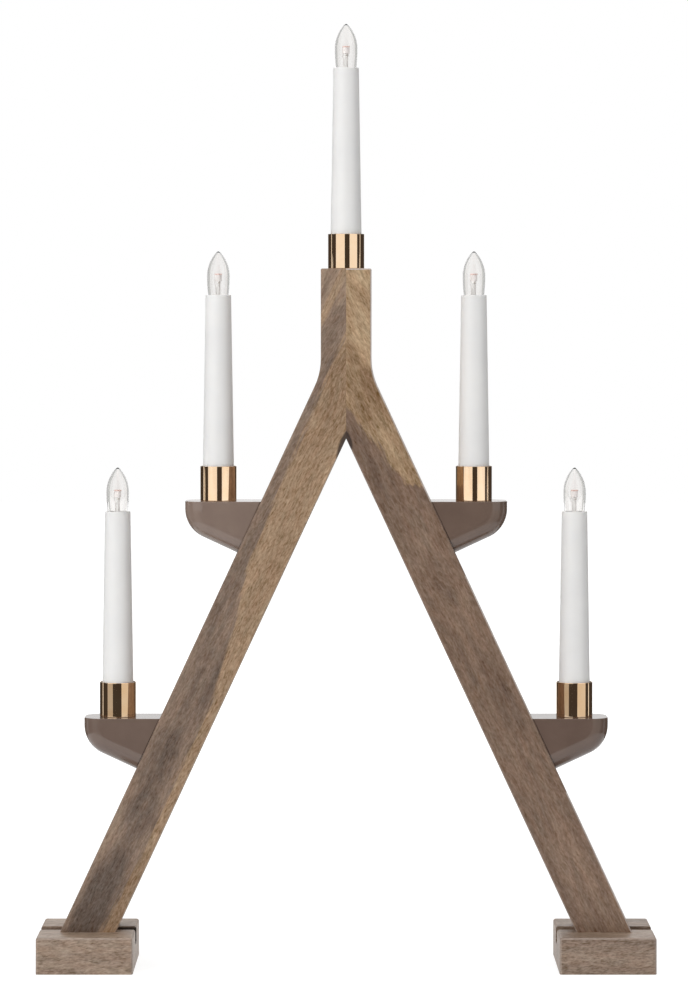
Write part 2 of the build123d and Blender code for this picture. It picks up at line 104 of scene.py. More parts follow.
ANODE_POINTS = ((-2.15, 0, 13.0), (-2.15, 0, 6.4), (-1.5, 0, 5.2), (-1.2, 0, -3.0))
ANODE_RADIUS = 0.22
CATHODE_POINTS = ((0.7, -0.4, 10.5), (0.7, -1.25, 7.6), (0.6, -1.2, -3.0))
CATHODE_RADIUS = 0.2

# Fineness of the meshes: segments round a piece, the most of a side that an eased corner takes,
# steps along a curve, and the angles in degrees over which an edge stays sharp
CUP_SEGMENTS = 128
TUBE_SEGMENTS = 96
GLASS_SEGMENTS = 144
THREAD_SEGMENTS = 64
LIGHT_SEGMENTS = 48
BEAD_SEGMENTS = 20
WIRE_SIDES = 10
EASING_LIMIT = 0.45
LOWER_GLASS_STEPS = 12
UPPER_GLASS_STEPS = 24
THREAD_STEPS = 60
NODE_SHARP_ANGLE = 35
PIECE_SHARP_ANGLE = 40


def srgb(red, green, blue):
    """Linear colour, with alpha, of an 8-bit one."""
    def linear(value):
        share = value / 255
        return share / 12.92 if share <= 0.04045 else ((share + 0.055) / 1.055) ** 2.4
    return (linear(red), linear(green), linear(blue), 1.0)


# Materials
WHITE = (1, 1, 1, 1)


class Nodes:
    """Short calls that make the nodes of one material or world."""

    def __init__(self, owner):
        owner.use_nodes = True
        self.tree = owner.node_tree
        self.tree.nodes.clear()

    def node(self, kind, inputs=(), **settings):
        made = self.tree.nodes.new(kind)
        for key, value in settings.items():
            setattr(made, key, value)
        for key, value in dict(inputs).items():
            self.feed(made.inputs[key], value)
        return made

    def feed(self, socket, value):
        if isinstance(value, bpy.types.NodeSocket):
            self.tree.links.new(value, socket)
        else:
            socket.default_value = value

    def place(self):
        return self.node("ShaderNodeTexCoord").outputs["Object"]

    def mapped(self, vector, scale=(1, 1, 1), turn=(0, 0, 0), shift=(0, 0, 0)):
        inputs = {"Vector": vector, "Scale": scale, "Rotation": turn, "Location": shift}
        return self.node("ShaderNodeMapping", inputs).outputs["Vector"]

    def split(self, vector):
        return self.node("ShaderNodeSeparateXYZ", {"Vector": vector}).outputs

    def noise(self, vector, scale, detail=3.0, rough=0.5, warp=0.0, seed=0.0):
        inputs = {"Vector": vector, "Scale": scale, "Detail": detail, "Roughness": rough,
                  "Distortion": warp, "W": seed}
        return self.node("ShaderNodeTexNoise", inputs, noise_dimensions="4D").outputs["Fac"]

    def cells(self, vector, scale):
        inputs = {"Vector": vector, "Scale": scale}
        made = self.node("ShaderNodeTexVoronoi", inputs, voronoi_dimensions="4D")
        return made.outputs["Distance"]

    def math(self, operation, first, second=0.0, third=0.0):
        made = self.node("ShaderNodeMath", operation=operation)
        for socket, value in zip(made.inputs, (first, second, third)):
            self.feed(socket, value)
        return made.outputs[0]

    def times(self, first, *others):
        """Product of the values."""
        for other in others:
            first = self.math("MULTIPLY", first, other)
        return first

    def span(self, value, low, high, to_low=0.0, to_high=1.0, smooth=False):
        """Value with the range from low to high turned into another, and clamped to it."""
        kind = "SMOOTHSTEP" if smooth else "LINEAR"
        inputs = {"Value": value, "From Min": low, "From Max": high, "To Min": to_low,
                  "To Max": to_high}
        return self.node("ShaderNodeMapRange", inputs, interpolation_type=kind).outputs["Result"]

    def stretch(self, noise, to_low=0.0, to_high=1.0):
        """Noise, which keeps near 0.5, with its usual range turned into another."""
        return self.span(noise, 0.3, 0.7, to_low, to_high)

    def ramp(self, value, stops, interpolation="LINEAR"):
        """Colour at a value from 0 to 1, by stops of (value, colour)."""
        made = self.node("ShaderNodeValToRGB", {"Fac": value})
        ramp = made.color_ramp
        ramp.interpolation = interpolation
        while len(ramp.elements) < len(stops):
            ramp.elements.new(0.5)
        for element, (position, colour) in zip(ramp.elements, stops):
            element.position = position
            element.color = colour
        return made.outputs["Color"]

    def mix(self, factor, first, second, kind="MIX"):
        made = self.node("ShaderNodeMix", data_type="RGBA", blend_type=kind)
        for name, value in (("Factor_Float", factor), ("A_Color", first), ("B_Color", second)):
            socket = next(s for s in made.inputs if s.identifier == name)
            self.feed(socket, value)
        return next(s for s in made.outputs if s.identifier == "Result_Color")

    def grey(self, value):
        inputs = {"Red": value, "Green": value, "Blue": value}
        return self.node("ShaderNodeCombineColor", inputs).outputs["Color"]

    def bump(self, height, distance, strength):
        """Normal of a relief that is distance millimetres high."""
        inputs = {"Height": height, "Distance": distance * MM, "Strength": strength}
        return self.node("ShaderNodeBump", inputs).outputs["Normal"]

    def shader_mix(self, factor, first, second):
        return self.node("ShaderNodeMixShader", {0: factor, 1: first, 2: second}).outputs[0]


class Recipe(Nodes):
    """One material with the Principled shader, which the patterns feed."""

    def __init__(self, name):
        self.material = bpy.data.materials.new(name)
        super().__init__(self.material)
        self.shader = self.node("ShaderNodeBsdfPrincipled")
        self.output = self.node("ShaderNodeOutputMaterial")
        self.show(self.shader.outputs["BSDF"])

    def surface(self, **inputs):
        for key, value in inputs.items():
            self.feed(self.shader.inputs[key.replace("_", " ")], value)

    def show(self, shader):
        self.feed(self.output.inputs["Surface"], shader)


# Noise in the wood: a feature's width across the grain and length along it in millimetres, what it
# adds to the wood's seed, its detail and its warp
GRAIN_NOISE = {
    "bands": (13, 150, 1, 3.0, 0.4),
    "streaks": (3.2, 44, 2, 4.0, 0.3),
    "fibres": (1.0, 5, 3, 4.0, 0.0),
    "flecks": (0.8, 2.2, 4, 3.0, 0.0),
    "feather": (1.6, 22, 5, 4.0, 0.0),
    "pores": (0.6, 4.0, 6, 1.0, 0.0),
    "mottle": (2.6, 7, 8, 3.0, 0.0),
    "warmth": (3.0, 12, 9, 3.0, 0.0),
}
GRAIN_ROUGHNESS = 0.55
SLANTED_NOISE = ("mottle", "flecks", "pores")
SLANT = math.radians(7)
WAVER_SEED = 7
WAVER_SCALE = 14.0
WAVER_REACH = 3

# The figure is a sum of three noises, and runs through all tones within this reach on each side
# of the wood's own middle value
BAND_SHARE = 0.56
STREAK_SHARE = 0.18
MOTTLE_SHARE = 0.26
FIGURE_REACH = 0.16
TONE_STOPS = (0.0, 0.35, 0.7, 1.0)
GOLD_STOPS = (0.0, 1.0)

# How far the sap's edge may lie from the grain's middle line, in millimetres, and how its streaks
# are feathered and shown
EDGE_REACH = 40
STREAK_FEATHER = 60.0
STREAK_STRENGTH = 0.8

# Light and dark of the fine grain, and its relief
PORE_NOISE = (0.6, 0.68)
FIBRE_LIGHT = 0.26
FLECK_LIGHT = 0.24
PORE_LIGHT = -0.2
SAP_CRISPNESS = 1.45
LIGHT_ON_COLOUR = 0.5
LIGHT_ON_ALL = 0.085
FIBRE_RELIEF = 0.7
PORE_RELIEF = -0.6

# Painted highlight on the arrises: where it is on a normal's turn, as the product of its parts to
# the side and to the front, and how uneven it is
HIGHLIGHT_TURN = (0.1, 0.4)
HIGHLIGHT_NOISE_SCALE = 60.0
HIGHLIGHT_NOISE = (0.35, 0.65)
HIGHLIGHT_RANGE = (0.6, 1.0)
BRACKET_MARGIN = 1

COOL_TINT = srgb(248, 252, 251)
WARM_TINT = srgb(255, 248, 243)
# Paler colour of the painted arris highlight
ARRIS_HIGHLIGHT_TONE = srgb(196, 185, 178)
# Colour of the painted shade in the crotch between the legs
CROTCH_SHADE_TONE = srgb(54, 42, 37)
# Colour of the bracket seam: painted shade of the gap, and a glue line
SEAM_SHADE_TONE = srgb(48, 38, 33)


class Wood(Recipe):
    """Stained wood on a grain frame, whose X goes across the grain and whose Z goes along it."""

    def __init__(self, name, grain, seed):
        super().__init__(name)
        self.seed = seed
        straight = self.mapped(self.place(), **grain)
        waver = self.noise(straight, WAVER_SCALE, 2.0, seed=seed + WAVER_SEED)
        lean = self.span(waver, 0, 1, -WAVER_REACH * MM, WAVER_REACH * MM)
        offset = self.node("ShaderNodeCombineXYZ", {"X": lean, "Y": lean}).outputs["Vector"]
        wavering = self.node("ShaderNodeVectorMath", {0: straight, 1: offset}, operation="ADD")
        self.grain = wavering.outputs["Vector"]
        self.across, _, self.along = self.split(self.grain)
        self.slanted = self.mapped(self.grain, turn=(0, SLANT, 0))

    def grained(self, kind):
        """Noise drawn out along the grain, of a kind in GRAIN_NOISE."""
        across, along, step, detail, warp = GRAIN_NOISE[kind]
        scale = (1 / (across * MM), 1 / (across * MM), 1 / (along * MM))
        vector = self.slanted if kind in SLANTED_NOISE else self.grain
        return self.noise(self.mapped(vector, scale), 1.0, detail, GRAIN_ROUGHNESS, warp,
                          self.seed + step)

    def blotch(self, middle, size):
        """Soft spot of a height of 1 at (across, along), with half widths, in millimetres."""
        shares = []
        for place, centre, half in zip((self.across, self.along), middle, size):
            shares.append(self.math("DIVIDE", self.math("SUBTRACT", place, centre * MM), half * MM))
        far = self.math("ADD", *(self.times(share, share) for share in shares))
        return self.span(far, 0, 1, 1, 0, smooth=True)

    def spotted(self, value, spots, sign):
        """Value with spots of (middle, half widths, weight) added to it or taken off it."""
        for middle, size, weight in spots:
            spot = self.blotch(middle, size)
            value = self.math("MULTIPLY_ADD", spot, sign * weight, value)
        return value

    def figure(self, blotches, middle):
        """Dark and light of the wood, from 0 to 1, around the noise that is its middle tone."""
        streaks = self.times(self.grained("streaks"), STREAK_SHARE)
        figure = self.math("MULTIPLY_ADD", self.grained("bands"), BAND_SHARE, streaks)
        figure = self.math("MULTIPLY_ADD", self.grained("mottle"), MOTTLE_SHARE, figure)
        figure = self.spotted(figure, blotches, -1)
        return self.span(figure, middle - FIGURE_REACH, middle + FIGURE_REACH)

    def edge_curve(self, points):
        """Distance across the grain, in metres, of a line through points of (along, across)."""
        low, high = points[0][0], points[-1][0]
        share = self.span(self.along, low * MM, high * MM)
        stops = []
        for along, across in points:
            level = (across + EDGE_REACH) / (2 * EDGE_REACH)
            stops.append(((along - low) / (high - low), (level, level, level, 1)))
        value = self.split(self.ramp(share, stops, "EASE"))[0]
        return self.span(value, 0, 1, -EDGE_REACH * MM, EDGE_REACH * MM)

    def sapwood(self, sap):
        """1 in the sap, on one side of its edge and in its streaks, and 0 in the stain."""
        edge = self.edge_curve(sap["edge"])
        feather = self.math("SUBTRACT", self.grained("feather"), 0.5)
        feather = self.times(feather, sap["feather"] * MM)
        inside = self.times(self.math("SUBTRACT", edge, self.across), sap["side"])
        soft = sap["soft"] * MM
        gilt = self.span(self.math("ADD", inside, feather), -soft, soft, smooth=True)
        for middle, size in sap["streaks"]:
            spot = self.blotch(middle, size)
            spot = self.math("MULTIPLY_ADD", feather, STREAK_FEATHER, spot)
            gilt = self.math("MAXIMUM", gilt, self.span(spot, 0.15, 0.85, 0, STREAK_STRENGTH))
        return gilt

    def tinted(self, colour):
        """Colour that turns a little cooler and warmer from place to place."""
        tint = self.mix(self.stretch(self.grained("warmth")), COOL_TINT, WARM_TINT)
        return self.mix(1.0, colour, tint, "MULTIPLY")

    def fine_grain(self, colour, fibres, pores, contrast):
        """Colour with the light and dark of fibres, flecks and pores."""
        light = self.math("ADD", self.stretch(fibres, -FIBRE_LIGHT, FIBRE_LIGHT),
                          self.stretch(self.grained("flecks"), -FLECK_LIGHT, FLECK_LIGHT))
        light = self.times(self.math("MULTIPLY_ADD", pores, PORE_LIGHT, light), contrast)
        shade = self.grey(light)
        shaded = self.mix(1.0, colour, shade, "MULTIPLY")
        colour = self.mix(LIGHT_ON_COLOUR, colour, shaded, "ADD")
        return self.mix(LIGHT_ON_ALL, colour, shade, "ADD")

    def painted_arris_highlight(self, colour, inner, outer):
        """Painted highlight: paler where the surface turns between the front or back and a side,
        but not on the outer side where a bracket covers it."""
        x, y, z = self.split(self.node("ShaderNodeTexCoord").outputs["Normal"])
        sideways = self.math("SQRT", self.math("ADD", self.times(x, x), self.times(z, z)))
        turned = self.times(sideways, self.math("ABSOLUTE", y))
        uneven = self.span(self.noise(self.place(), HIGHLIGHT_NOISE_SCALE), *HIGHLIGHT_NOISE, *HIGHLIGHT_RANGE)
        highlight_amount = self.span(self.across, -MM, MM, inner, outer)
        for low, high in BRACKET_SPANS:
            above = self.span(self.along, low * MM, (low + BRACKET_MARGIN) * MM)
            below = self.span(self.along, (high - BRACKET_MARGIN) * MM, high * MM, 1, 0)
            covered = self.times(above, below, self.span(self.across, -MM, MM))
            highlight_amount = self.times(highlight_amount, self.math("SUBTRACT", 1.0, covered))
        # Painted highlight where the surface turns at an edge
        arris_highlight_mask = self.times(self.span(turned, *HIGHLIGHT_TURN), uneven, highlight_amount)
        return self.mix(arris_highlight_mask, colour, ARRIS_HIGHLIGHT_TONE)

    def painted_crotch_shade(self, colour, crotch_shade_spots):
        """Colour with spots of painted shade, which have a crisper edge than blotches; they darken
        the crotch where the legs meet.
        """
        for middle, size, weight in crotch_shade_spots:
            # A spot of painted shade
            spot = self.span(self.blotch(middle, size), 0.2, 0.6, 0, weight)
            colour = self.mix(spot, colour, CROTCH_SHADE_TONE)
        return colour

    def painted_groove_shade(self, colour, start, start_factor, end, end_factor):
        """Painted shade inside the groove of a foot, by factors at two places along x.

        It fades in over the top millimetre, and ends just outside the groove's floor and
        walls."""
        x, y, z = self.split(self.place())
        floor = FOOT_HEIGHT - GROOVE_DEPTH
        below = self.span(z, (FOOT_HEIGHT - 0.2) * MM, (FOOT_HEIGHT - 1.0) * MM)
        above = self.span(z, (floor - 0.3) * MM, (floor - 0.2) * MM)
        edge = (GROOVE_HALF + 0.1) * MM, (GROOVE_HALF + 0.3) * MM
        # Mask of the groove's walls and floor, where shade is painted in
        groove_shade_mask = self.times(below, above, self.span(self.math("ABSOLUTE", y), *edge, 1, 0))
        shade = self.grey(self.span(x, start * MM, end * MM, start_factor, end_factor))
        return self.mix(groove_shade_mask, colour, self.mix(1.0, colour, shade, "MULTIPLY"))


def wood(name, grain, tones, seed, sap=None, blotches=(), lifts=(), dark=0.5, crisp=1.0,
         arris=(0.3, 0.3), crotch_shade_spots=(), groove=None):
    """Material of wood under a stain. tones are the stain's colours from darkest to lightest.

    Blotches darken the figure of stain and sap, and lifts lighten only the stain's. dark is the
    figure's middle, higher for darker wood, and crisp scales the fine grain's contrast. arris is
    how much painted highlight the edges get on each side of the grain's middle line, the crotch
    spots are painted shade where the two legs meet, and the groove setting paints shade into a
    foot's groove."""
    made = Wood(name, grain, seed)
    figure = made.figure(blotches, dark)
    colour = made.ramp(made.spotted(figure, lifts, 1), tuple(zip(TONE_STOPS, tones)))
    gilt = 0.0
    if sap:
        gilt = made.sapwood(sap)
        colour = made.mix(gilt, colour, made.ramp(figure, tuple(zip(GOLD_STOPS, sap["golds"]))))
    fibres = made.grained("fibres")
    pores = made.span(made.grained("pores"), *PORE_NOISE)
    contrast = made.span(gilt, 0, 1, crisp, crisp * SAP_CRISPNESS)
    colour = made.fine_grain(made.tinted(colour), fibres, pores, contrast)
    # Painted highlight on the edges, then painted shade at the crotch
    colour = made.painted_crotch_shade(made.painted_arris_highlight(colour, *arris), crotch_shade_spots)
    # Painted shade in a foot's groove
    if groove:
        colour = made.painted_groove_shade(colour, *groove)
    relief = made.math("MULTIPLY_ADD", fibres, FIBRE_RELIEF, made.times(pores, PORE_RELIEF))
    made.surface(Base_Color=colour, Roughness=made.stretch(fibres, 0.48, 0.36),
                 Normal=made.bump(relief, distance=0.1, strength=0.5),
                 Specular_IOR_Level=0.45)
    return made.material


def upright_grain(side):
    """Grain frame of a rail: X across it from its middle line, outwards, and Z up along it."""
    return {"scale": (OUTWARD[side], 1, 1), "turn": (0, LEAN, 0),
            "shift": (-LEG_OFFSET * MM, 0, 0)}


# Places in the woods are (across, along) in millimetres of their grain frame, with half widths in
# the same order. A sap lies inward of its edge where its side is 1, and outward where it is -1.
# The edge goes through points of (along, across), feather is how ragged it is and soft how
# blurred, in millimetres.
ACROSS_GRAIN = {"turn": (0, math.pi / 2, 0)}
LEFT_TONES = (srgb(96, 81, 71), srgb(121, 102, 89), srgb(140, 119, 103), srgb(158, 135, 116))
RIGHT_TONES = (srgb(94, 75, 64), srgb(119, 97, 82), srgb(134, 110, 93), srgb(150, 125, 106))
FOOT_TONES = (srgb(120, 102, 89), srgb(138, 118, 103), srgb(151, 131, 115), srgb(168, 147, 129))
DOWEL_TONES = (srgb(176, 142, 100), srgb(190, 158, 116), srgb(204, 174, 132), srgb(214, 188, 148))
LEFT_SAP = {
    "side": 1, "feather": 7, "soft": 1.2, "golds": (srgb(142, 116, 91), srgb(180, 152, 124)),
    "edge": ((-60, -7), (30, -9.5), (105, -8.5), (150, -4), (180, 1.5), (200, 6), (260, 9),
             (330, 11.5), (400, 12)),
    "streaks": (((28.8, 370), (3.4, 44)),),
}
RIGHT_SAP = {
    "side": -1, "feather": 12, "soft": 1.5, "golds": (srgb(136, 109, 82), srgb(188, 160, 128)),
    "edge": ((200, 30), (240, 18), (252, 6), (270, 1), (300, -5), (315, -10), (326, -20),
             (400, -30)),
    "streaks": (),
}
left_wood = wood(
    "left_rail_wood", upright_grain("left"), LEFT_TONES, 3.1, LEFT_SAP,
    blotches=(
        ((3, -35), (12, 62), 0.26), ((1, 110), (9, 60), 0.1), ((17, 326), (7, 26), 0.02),
        ((9, 332), (6, 16), 0.18), ((5, 303), (16, 40), 0.15), ((-12, 50), (6, 90), 0.14),
        ((-11, -20), (6, 40), 0.18), ((6, 66), (14, 28), 0.13), ((2, 32), (14, 20), 0.13),
        ((8, 288), (9, 12), -0.12)),
    lifts=(
        ((36, 366), (9, 50), 0.3), ((23, 372), (6, 16), 0.4), ((22, 300), (10, 40), 0.15),
        ((11, 12), (8, 26), 0.2)),
    dark=0.47, arris=(0.35, 0.0), crotch_shade_spots=(((-16, 289), (5.6, 17), 0.9),),
)
right_wood = wood(
    "right_rail_wood", upright_grain("right"), RIGHT_TONES, 8.4, RIGHT_SAP,
    blotches=(
        ((-8, 285), (9, 40), 0.08), ((0, 245), (16, 34), 0.08), ((2, 190), (9, 24), 0.1),
        ((4, 110), (9, 34), 0.08), ((14, 372), (9, 9), 0.2), ((13, 314), (8, 12), 0.14),
        ((6, 310), (13, 30), 0.14), ((9, 337), (6, 12), 0.14), ((20, 337), (6, 20), -0.1),
        ((35, 374), (9, 9), -0.13)),
    lifts=(((2, -10), (14, 46), 0.25),),
    dark=0.48, arris=(0.3, 1.0), crotch_shade_spots=(((-16.5, 290), (4.6, 10), 0.9),),
)
# Each foot's groove gets painted shade, darkest at the left foot's inner side, where its leg shades
# the groove from the key lamp
foot_woods = {
    side: wood(f"{side}_foot_wood", ACROSS_GRAIN, FOOT_TONES, seed, dark=dark, crisp=1.5,
               groove=groove)
    for side, seed, dark, groove in (
        ("left", 12.3, 0.4, (-150, 0.58, -146, 0.16)),
        ("right", 17.9, 0.51, (150, 0.82, 146, 0.78)))
}


def lacquer(name, colour, dark, side):
    """Glossy lacquer with orange peel and dust, and a dark seam where a bracket meets its leg,
    painted as the shade of the gap there and a glue line.
    """
    recipe = Recipe(name)
    place = recipe.place()
    cloud = recipe.noise(place, scale=60.0)
    tone = recipe.mix(recipe.stretch(cloud), dark, colour)
    across = recipe.split(recipe.mapped(place, **upright_grain(side)))[0]
    # Dark seam beside the leg: painted shade of the gap, and a glue line
    seam = recipe.span(across, (RAIL_HALF + 0.3) * MM, (RAIL_HALF + 0.8) * MM, 0.75, 0)
    seam = recipe.times(seam, recipe.span(cloud, 0.4, 0.6, 0.5, 1))
    tone = recipe.mix(seam, tone, SEAM_SHADE_TONE)
    peel = recipe.noise(place, scale=520.0, detail=2.0, rough=0.45)
    dust = recipe.span(recipe.cells(place, scale=190.0), 0.0, 0.05, 1.0, 0.0)
    relief = recipe.math("MULTIPLY_ADD", dust, 0.25, peel)
    recipe.surface(Base_Color=tone, Roughness=recipe.stretch(cloud, 0.1, 0.16), IOR=1.5,
                   Normal=recipe.bump(relief, distance=0.02, strength=0.35))
    return recipe.material


def copper():
    """Polished copper with faint smears, and fine lines round the cups."""
    recipe = Recipe("polished_copper")
    place = recipe.place()
    smear = recipe.noise(place, scale=90.0, detail=4.0, rough=0.6, warp=0.8)
    drawn = recipe.mapped(place, scale=(400, 400, 4000))
    lines = recipe.noise(drawn, scale=1.0, detail=2.0, rough=0.6)
    tone = recipe.mix(recipe.span(smear, 0.35, 0.7), srgb(250, 222, 190), srgb(246, 212, 174))
    rough = recipe.math("ADD", recipe.span(smear, 0.35, 0.7, 0.02, 0.05),
                        recipe.span(lines, 0.4, 0.7, 0, 0.02))
    recipe.surface(Base_Color=tone, Metallic=1.0, Roughness=rough,
                   Normal=recipe.bump(lines, distance=0.001, strength=0.1))
    return recipe.material


def tube_plastic():
    """White plastic with a little light in it, flow marks along the tube and fine grit."""
    recipe = Recipe("tube_white")
    place = recipe.place()
    cloud = recipe.noise(place, scale=45.0)
    grit = recipe.noise(place, scale=2600.0, detail=2.0)
    flow = recipe.noise(recipe.mapped(place, scale=(260, 260, 18)), scale=1.0)
    tone = recipe.mix(recipe.stretch(cloud), srgb(236, 235, 234), srgb(241, 240, 238))
    relief = recipe.math("MULTIPLY_ADD", grit, 0.3, flow)
    recipe.surface(Base_Color=tone, Roughness=recipe.stretch(flow, 0.36, 0.46),
                   Normal=recipe.bump(relief, distance=0.012, strength=0.4),
                   Subsurface_Weight=0.12, Subsurface_Radius=(0.002, 0.0018, 0.0016),
                   Subsurface_Scale=1.0)
    return recipe.material


def glass():
    """Clear glass, open to the rays of lamps and of matt surfaces, so that what it holds is lit."""
    recipe = Recipe("bulb_glass")
    drawn = recipe.mapped(recipe.place(), scale=(180, 180, 90))
    swirl = recipe.noise(drawn, scale=1.0, detail=2.0, rough=0.4)
    recipe.surface(Base_Color=srgb(247, 246, 245), Roughness=recipe.stretch(swirl, 0.0, 0.02),
                   Normal=recipe.bump(swirl, distance=0.02, strength=0.15),
                   Transmission_Weight=1.0, IOR=1.47)
    path = recipe.node("ShaderNodeLightPath").outputs
    open_to = recipe.math("MAXIMUM", path["Is Shadow Ray"], path["Is Diffuse Ray"])
    through = recipe.node("ShaderNodeBsdfTransparent", {"Color": WHITE}).outputs[0]
    recipe.show(recipe.shader_mix(open_to, recipe.shader.outputs["BSDF"], through))
    return recipe.material


def moulded(name, colour, darker, rough, metal=0.0, rim=None):
    """Small part with a fine mottle, clouded roughness and a light surface texture.

    rim is the colour of the top of a piece, where it has another."""
    recipe = Recipe(name)
    place = recipe.place()
    cloud = recipe.noise(place, scale=220.0)
    fine = recipe.noise(place, scale=900.0, rough=0.55)
    tone = recipe.mix(recipe.stretch(cloud), colour, darker)
    if rim:
        share = recipe.split(recipe.node("ShaderNodeTexCoord").outputs["Generated"])[2]
        tone = recipe.mix(recipe.span(share, 0.8, 0.86), tone, rim)
    recipe.surface(Base_Color=tone, Roughness=recipe.stretch(fine, rough * 0.85, rough * 1.15),
                   Metallic=metal, Normal=recipe.bump(fine, distance=0.02, strength=0.4))
    return recipe.material


# One lacquer in four tones, lightest on the upper left bracket: painted light and shade of how the
# lamps fall on each bracket
lacquers = {
    (row, side): lacquer(f"{row}_{side}_lacquer", srgb(*light), srgb(*dark), side)
    for row, side, light, dark in (
        ("upper", "left", (137, 119, 108), (129, 111, 101)),
        ("upper", "right", (114, 95, 84), (106, 88, 78)),
        ("lower", "left", (117, 99, 89), (109, 92, 83)),
        ("lower", "right", (111, 92, 82), (103, 85, 76)))
}
MATERIALS = {
    name: moulded(name, srgb(*light), srgb(*dark), rough, metal)
    for name, light, dark, rough, metal in (
        ("zinc_steel", (196, 197, 192), (170, 172, 168), 0.32, 1.0),
        ("holder_plastic", (226, 224, 218), (214, 212, 205), 0.5, 0.0),
        ("contact_brass", (214, 178, 108), (196, 160, 92), 0.28, 1.0),
        ("bulb_cap_metal", (206, 202, 192), (184, 180, 170), 0.26, 1.0),
        ("bulb_light", (251, 250, 248), (246, 244, 241), 0.3, 0.0),
        ("solder", (214, 208, 200), (196, 190, 182), 0.45, 0.0),
        ("light_wire", (236, 231, 228), (226, 220, 216), 0.4, 0.0),
        ("lead_insulation", (236, 236, 232), (222, 222, 217), 0.45, 0.0))
}
MATERIALS.update({
    "polished_copper": copper(),
    "tube_white": tube_plastic(),
    "bulb_glass": glass(),
    "dowel_wood": wood("dowel_wood", ACROSS_GRAIN, DOWEL_TONES, 23.0),
    "diode": moulded("diode", srgb(255, 250, 248), srgb(254, 245, 242), 0.3,
                     rim=srgb(240, 206, 196)),
})


# Solids that stay
def finish_node(name, material):
    """Gives a carried-over solid its material and smooth shading."""
    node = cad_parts[name]
    node.data.materials.clear()
    node.data.materials.append(material)
    node.data.shade_smooth()
    node.data.set_sharp_from_angle(angle=math.radians(NODE_SHARP_ANGLE))


for side, material in (("left", left_wood), ("right", right_wood)):
    finish_node(f"{side}_upright", material)
    finish_node(f"{side}_cover_strip", material)
    finish_node(f"{side}_foot", foot_woods[side])
    for row in ("upper", "lower"):
        finish_node(f"{row}_{side}_bracket", lacquers[row, side])
finish_node("stem_cover_strip", right_wood)
for node, name in (
    ("seam_dowels", "dowel_wood"), ("bracket_dowels", "dowel_wood"), ("foot_screws", "zinc_steel"),
    ("cup_nipples", "zinc_steel"), ("tube_seats", "holder_plastic"),
    ("holder_contacts", "contact_brass"), ("link_leads", "lead_insulation"),
    ("supply_leads", "lead_insulation"),
):
    finish_node(node, MATERIALS[name])
for candle in CANDLES:
    finish_node(f"{candle}_holder", MATERIALS["holder_plastic"])
    finish_node(f"{candle}_bulb_button", MATERIALS["solder"])


# New pieces
def build(name, verts, faces):
    """Object of a new mesh, shaded smooth."""
    mesh = bpy.data.meshes.new(name)
    mesh.from_pydata(verts, [], faces)
    mesh.validate()
    mesh.shade_smooth()
    mesh.set_sharp_from_angle(angle=math.radians(PIECE_SHARP_ANGLE))
    piece = bpy.data.objects.new(name, mesh)
    bpy.context.scene.collection.objects.link(piece)
    return piece


def dress(piece, body, slot, material=None, replaces=()):
    """Gives a new piece the material named by slot, or by material when that is given, and its
    body, and hides the nodes that it stands for.
    """
    piece.data.materials.append(MATERIALS[material or slot])
    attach(piece, body)
    if replaces:
        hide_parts(*replaces)


def eased(outline, reach, steps=5, closed=True):
    """Outline with each corner cut by a curve, at a reach from it or less on short sides."""
    points = [Vector(p) for p in outline]
    made = []
    for i, corner in enumerate(points):
        if not closed and i in (0, len(points) - 1):
            made.append(tuple(corner))
            continue
        before, after = points[i - 1] - corner, points[(i + 1) % len(points)] - corner
        cut = min(reach, before.length * EASING_LIMIT, after.length * EASING_LIMIT)
        start, end = corner + before.normalized() * cut, corner + after.normalized() * cut
        for k in range(steps + 1):
            share = k / steps
            point = start.lerp(corner, share).lerp(corner.lerp(end, share), share)
            made.append(tuple(point))
    return made


def arc(start, end, count):
    """Points of an arc that leaves the start upright or downright and comes to the end."""
    rise = end[1] - start[1]
    middle = (start[0] ** 2 - end[0] ** 2 - rise ** 2) / (2 * (start[0] - end[0]))
    radius = start[0] - middle
    sweep = math.asin(rise / radius)
    turns = [sweep * k / count for k in range(count + 1)]
    return [(middle + radius * math.cos(turn), start[1] + radius * math.sin(turn))
            for turn in turns]


def lathe(name, outline, base, segments, closed=True, thread=None):
    """Turned mesh of a half outline of (radius, height) in millimetres on an upright axis.

    thread, a function of radius, height and share of a turn, gives the radius of a screw form."""
    verts, rings, faces = [], [], []
    for radius, height in outline:
        ring = []
        for k in range(segments if radius > 0 else 1):
            turn = k / segments
            r = thread(radius, height, turn) if thread and radius > 0 else radius
            angle = 2 * math.pi * turn
            ring.append(len(verts))
            verts.append((base.x + r * MM * math.cos(angle), base.y + r * MM * math.sin(angle),
                          base.z + height * MM))
        rings.append(ring)
    pairs = list(zip(rings, rings[1:])) + ([(rings[-1], rings[0])] if closed else [])
    for low, high in pairs:
        for k in range(segments):
            after = k + 1
            corners = list(dict.fromkeys((
                low[k % len(low)], low[after % len(low)],
                high[after % len(high)], high[k % len(high)])))
            if len(corners) > 2:
                faces.append(corners)
    return build(name, verts, faces)


